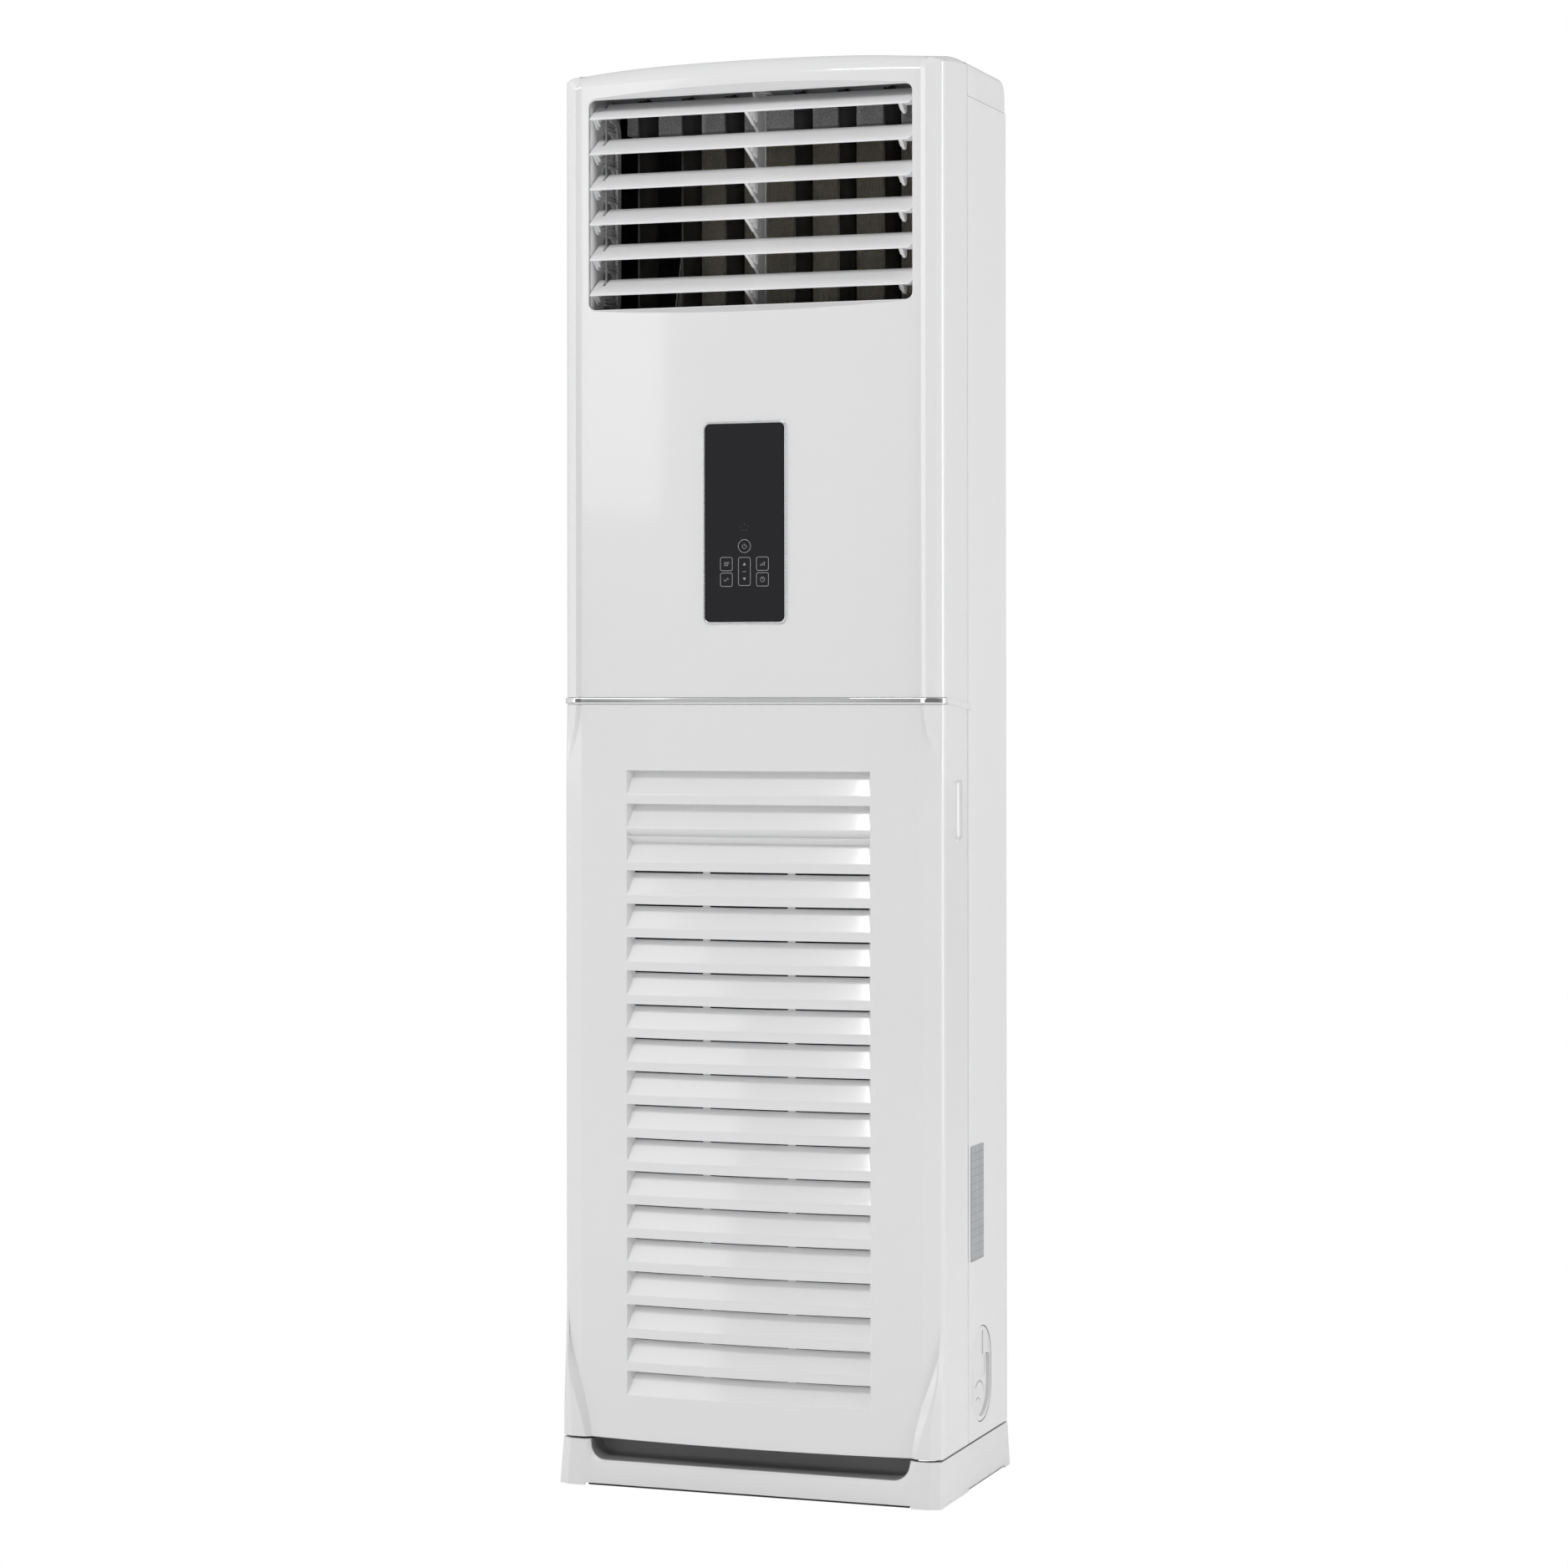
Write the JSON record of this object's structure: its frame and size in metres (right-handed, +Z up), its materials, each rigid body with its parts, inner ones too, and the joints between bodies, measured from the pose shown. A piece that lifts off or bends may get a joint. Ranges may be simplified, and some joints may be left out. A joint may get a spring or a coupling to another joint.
{
  "type": "floor standing air conditioner",
  "caption": "Tall floor standing indoor air conditioner column with a louvred top outlet, a touch panel, a slatted lower intake and a toe-recessed plinth.",
  "frame": {"origin": "on the floor, at the centre of the footprint", "axes": "+Z up, front faces -Y, +X to the right of someone facing the front"},
  "size_m": [0.4934, 0.3, 1.75],
  "materials": {
    "gloss_white": "smooth gloss moulding",
    "base_white": "satin moulding",
    "blade_white": "smooth gloss moulding",
    "steel_white": "fine powder coat",
    "chrome": "polished",
    "display_ring": "satin",
    "display_black": "polished black",
    "vane_black": "fine matte",
    "duct_grey": "matte",
    "galvanised": "galvanised sheet",
    "motor_grey": "satin",
    "fin_aluminium": "coated fins",
    "copper": "drawn copper tube",
    "foam_grey": "closed-cell foam",
    "pan_white": "matte",
    "filter_grey": "moulded mesh",
    "board_green": "circuit board",
    "label_foil": "satin foil"
  },
  "bodies": {
    "root": {"base_plinth": "base_white", "base_pan": "galvanised", "right_side_panel": "steel_white", "piping_plate": "gloss_white", "left_side_panel": "steel_white", "back_panel": "steel_white", "top_cover": "gloss_white", "upper_front_panel": "gloss_white", "front_trim": "chrome", "right_trim": "gloss_white", "left_trim": "gloss_white", "display_bezel": "display_ring", "display_glass": "display_black", "display_board": "board_green", "outlet_frame": "duct_grey", "left_blade_bracket": "gloss_white", "right_blade_bracket": "gloss_white", "centre_support": "gloss_white", "blade_motor": "galvanised", "vane_motor": "galvanised", "evaporator_fins": "fin_aluminium", "left_end_plate": "galvanised", "right_end_plate": "galvanised", "coil_header": "copper", "top_foam": "foam_grey", "drain_pan": "pan_white", "drain_hose": "pan_white", "gas_pipe": "copper", "liquid_pipe": "copper", "volute_housing": "galvanised", "inlet_ring": "vane_black", "motor_bracket": "galvanised", "blower_motor": "motor_grey", "fan_deck": "galvanised", "electrical_box": "galvanised", "control_board": "board_green", "terminal_block": "vane_black", "fan_capacitor": "pan_white", "side_label": "label_foil", "cable_gland": "vane_black", "wall_bracket": "galvanised"},
    "lower_panel": {"lower_front_panel": "gloss_white"},
    "filter": {"air_filter": "filter_grey"},
    "fan": {"blower_wheel": "vane_black", "motor_shaft": "galvanised"},
    "blade_1": {"blade_1": "blade_white"},
    "blade_2": {"blade_2": "blade_white"},
    "blade_3": {"blade_3": "blade_white"},
    "blade_4": {"blade_4": "blade_white"},
    "blade_5": {"blade_5": "blade_white"},
    "blade_6": {"blade_6": "blade_white"},
    "blade_link": {"blade_link": "gloss_white"},
    "vane_1": {"vane_1": "vane_black"},
    "vane_2": {"vane_2": "vane_black"},
    "vane_3": {"vane_3": "vane_black"},
    "vane_4": {"vane_4": "vane_black"},
    "vane_5": {"vane_5": "vane_black"},
    "vane_6": {"vane_6": "vane_black"},
    "vane_link": {"vane_link": "vane_black"}
  },
  "joints": [
    {"name": "blade_1_tilt", "type": "hinge", "parent": "root", "child": "blade_1", "pos_m": [0, -0.1149, 1.6835], "axis": [1, 0, 0], "range_deg": [-48, 27]},
    {"name": "blade_2_tilt", "type": "hinge", "parent": "root", "child": "blade_2", "pos_m": [0, -0.1149, 1.6401], "axis": [1, 0, 0], "range_deg": [-48, 27]},
    {"name": "blade_3_tilt", "type": "hinge", "parent": "root", "child": "blade_3", "pos_m": [0, -0.1149, 1.5967], "axis": [1, 0, 0], "range_deg": [-48, 27]},
    {"name": "blade_4_tilt", "type": "hinge", "parent": "root", "child": "blade_4", "pos_m": [0, -0.1149, 1.5533], "axis": [1, 0, 0], "range_deg": [-48, 27]},
    {"name": "blade_5_tilt", "type": "hinge", "parent": "root", "child": "blade_5", "pos_m": [0, -0.1149, 1.5099], "axis": [1, 0, 0], "range_deg": [-48, 27]},
    {"name": "blade_6_tilt", "type": "hinge", "parent": "root", "child": "blade_6", "pos_m": [0, -0.1149, 1.4665], "axis": [1, 0, 0], "range_deg": [-48, 27]},
    {"name": "blade_link_pivot", "type": "hinge", "parent": "blade_1", "child": "blade_link", "pos_m": [-0.1965, -0.10866, 1.6952], "axis": [1, 0, 0], "range_deg": [-27, 48]},
    {"name": "vane_1_swing", "type": "hinge", "parent": "root", "child": "vane_1", "pos_m": [-0.16, -0.06, 1.577], "axis": [0, 0, 1], "range_deg": [-30, 30]},
    {"name": "vane_2_swing", "type": "hinge", "parent": "root", "child": "vane_2", "pos_m": [-0.102, -0.06, 1.577], "axis": [0, 0, 1], "range_deg": [-30, 30]},
    {"name": "vane_3_swing", "type": "hinge", "parent": "root", "child": "vane_3", "pos_m": [-0.045, -0.06, 1.577], "axis": [0, 0, 1], "range_deg": [-30, 30]},
    {"name": "vane_4_swing", "type": "hinge", "parent": "root", "child": "vane_4", "pos_m": [0.045, -0.06, 1.577], "axis": [0, 0, 1], "range_deg": [-30, 30]},
    {"name": "vane_5_swing", "type": "hinge", "parent": "root", "child": "vane_5", "pos_m": [0.102, -0.06, 1.577], "axis": [0, 0, 1], "range_deg": [-30, 30]},
    {"name": "vane_6_swing", "type": "hinge", "parent": "root", "child": "vane_6", "pos_m": [0.16, -0.06, 1.577], "axis": [0, 0, 1], "range_deg": [-30, 30]},
    {"name": "vane_link_pivot", "type": "hinge", "parent": "vane_1", "child": "vane_link", "pos_m": [-0.16, -0.036, 1.4435], "axis": [0, 0, 1], "range_deg": [-30, 30]},
    {"name": "fan_spin", "type": "hinge", "parent": "root", "child": "fan", "pos_m": [-0.01, 0.009, 0.395], "axis": [0, 1, 0], "continuous": true},
    {"name": "filter_slide", "type": "slide", "parent": "root", "child": "filter", "axis": [0, 0, 1], "range_m": [0, 0.05]},
    {"name": "lower_panel_pull", "type": "slide", "parent": "root", "child": "lower_panel", "axis": [0, -1, 0], "range_m": [0, 0.12]}
  ],
  "couplings": [
    {"joint": "blade_2_tilt", "follows": "blade_1_tilt", "ratio": 1},
    {"joint": "blade_3_tilt", "follows": "blade_1_tilt", "ratio": 1},
    {"joint": "blade_4_tilt", "follows": "blade_1_tilt", "ratio": 1},
    {"joint": "blade_5_tilt", "follows": "blade_1_tilt", "ratio": 1},
    {"joint": "blade_6_tilt", "follows": "blade_1_tilt", "ratio": 1},
    {"joint": "blade_link_pivot", "follows": "blade_1_tilt", "ratio": -1},
    {"joint": "vane_2_swing", "follows": "vane_1_swing", "ratio": 1},
    {"joint": "vane_3_swing", "follows": "vane_1_swing", "ratio": 1},
    {"joint": "vane_4_swing", "follows": "vane_1_swing", "ratio": 1},
    {"joint": "vane_5_swing", "follows": "vane_1_swing", "ratio": 1},
    {"joint": "vane_6_swing", "follows": "vane_1_swing", "ratio": 1},
    {"joint": "vane_link_pivot", "follows": "vane_1_swing", "ratio": -1}
  ]
}
